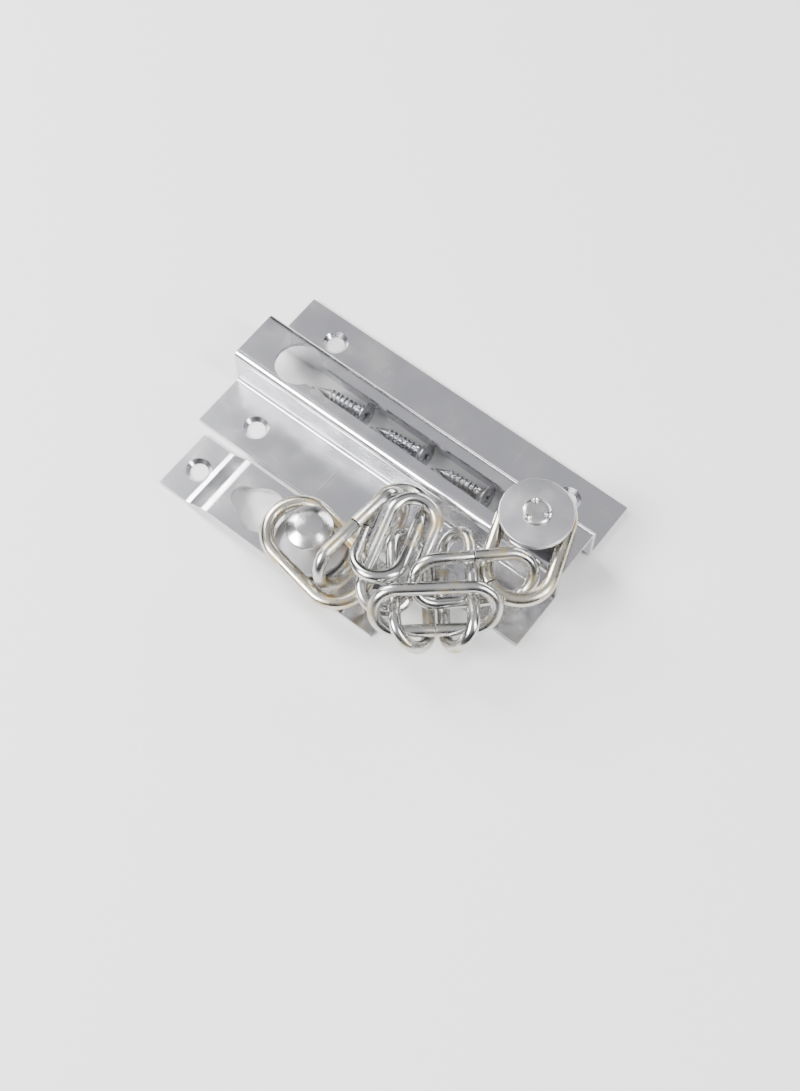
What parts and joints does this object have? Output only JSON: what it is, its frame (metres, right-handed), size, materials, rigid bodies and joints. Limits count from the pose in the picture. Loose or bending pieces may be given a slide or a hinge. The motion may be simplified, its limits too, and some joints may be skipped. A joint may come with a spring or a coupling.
{
  "type": "chain window and door restrictor",
  "caption": "Chain restrictor for a window or door: slotted track, keyholed anchor plate, riveted studs and a bent-wire chain.",
  "frame": {"origin": "middle of the track's mounting face, on the plane that both plates screw down to", "axes": "+X along the track from its keyhole towards the slot's closed end, +Y across it away from the anchor plate, +Z out of the mounting face"},
  "size_m": [0.1014, 0.0697, 0.0224],
  "materials": {
    "pressed_chrome": "bright chrome plate on pressed steel sheet",
    "satin_nickel": "satin, faintly clouded",
    "turned_chrome": "bright, with turning marks",
    "ring_wire": "bright chrome wire with light yellow tarnish",
    "link_wire": "bright chrome wire",
    "screw_zinc": "bright zinc plate"
  },
  "bodies": {
    "root": {"track_plate": "pressed_chrome", "anchor_plate": "pressed_chrome", "track_screws": "screw_zinc", "anchor_screws": "screw_zinc"},
    "slider": {"slider_stud": "turned_chrome", "slider_disc": "satin_nickel"},
    "slider_ring": {"slider_ring": "ring_wire"},
    "link_1": {"link_1": "link_wire"},
    "link_2": {"link_2": "link_wire"},
    "link_3": {"link_3": "link_wire"},
    "link_4": {"link_4": "link_wire"},
    "link_5": {"link_5": "link_wire"},
    "link_6": {"link_6": "link_wire"},
    "link_7": {"link_7": "link_wire"},
    "anchor_ring": {"anchor_ring": "ring_wire"},
    "anchor_stud": {"anchor_stud": "turned_chrome", "anchor_disc": "satin_nickel"}
  },
  "joints": [
    {"name": "slider_slide", "type": "slide", "parent": "root", "child": "slider", "axis": [1, 0, 0], "range_m": [-0.0728, 0.0014]},
    {"name": "ring_swing", "type": "hinge", "parent": "slider", "child": "slider_ring", "pos_m": [0.0375, 0, 0.01535], "axis": [0, 0, 1], "range_deg": [0, 18]},
    {"name": "link_1_swing", "type": "hinge", "parent": "slider_ring", "child": "link_1", "pos_m": [0.0416, -0.0197, 0.0109], "axis": [0.3762, 0.8385, 0.3942], "range_deg": [0, 69]},
    {"name": "link_2_swing", "type": "hinge", "parent": "link_1", "child": "link_2", "pos_m": [0.0323, -0.0188, 0.0184], "axis": [-0.29, 0.877, -0.383], "range_deg": [0, 15]},
    {"name": "link_3_swing", "type": "hinge", "parent": "link_2", "child": "link_3", "pos_m": [0.0348, -0.0348, 0.0108], "axis": [0.59, 0.24, 0.7709], "range_deg": [0, 15]},
    {"name": "link_4_swing", "type": "hinge", "parent": "link_3", "child": "link_4", "pos_m": [0.0308, -0.036, 0.0098], "axis": [-0.8582, 0.4991, -0.12], "range_deg": [0, 6]},
    {"name": "link_5_swing", "type": "hinge", "parent": "link_4", "child": "link_5", "pos_m": [0.0162, -0.0256, 0.0144], "axis": [-0.4791, 0.8591, -0.18], "range_deg": [0, 3]},
    {"name": "link_6_swing", "type": "hinge", "parent": "link_5", "child": "link_6", "pos_m": [0.0134, -0.035, 0.0144], "axis": [0.2491, 0.2401, 0.9383], "range_deg": [0, 10]},
    {"name": "link_7_swing", "type": "hinge", "parent": "link_6", "child": "link_7", "pos_m": [0.0083, -0.0135, 0.0122], "axis": [-0.2919, 0.4389, -0.8498], "range_deg": [0, 56]},
    {"name": "anchor_ring_swing", "type": "hinge", "parent": "link_7", "child": "anchor_ring", "pos_m": [0.0056, -0.0433, 0.0103], "axis": [0.3762, 0.8385, 0.3942], "range_deg": [0, 28]},
    {"name": "anchor_stud_spin", "type": "hinge", "parent": "anchor_ring", "child": "anchor_stud", "pos_m": [-0.00396, -0.03376, 0.01], "axis": [0, 0, 1], "continuous": true}
  ]
}
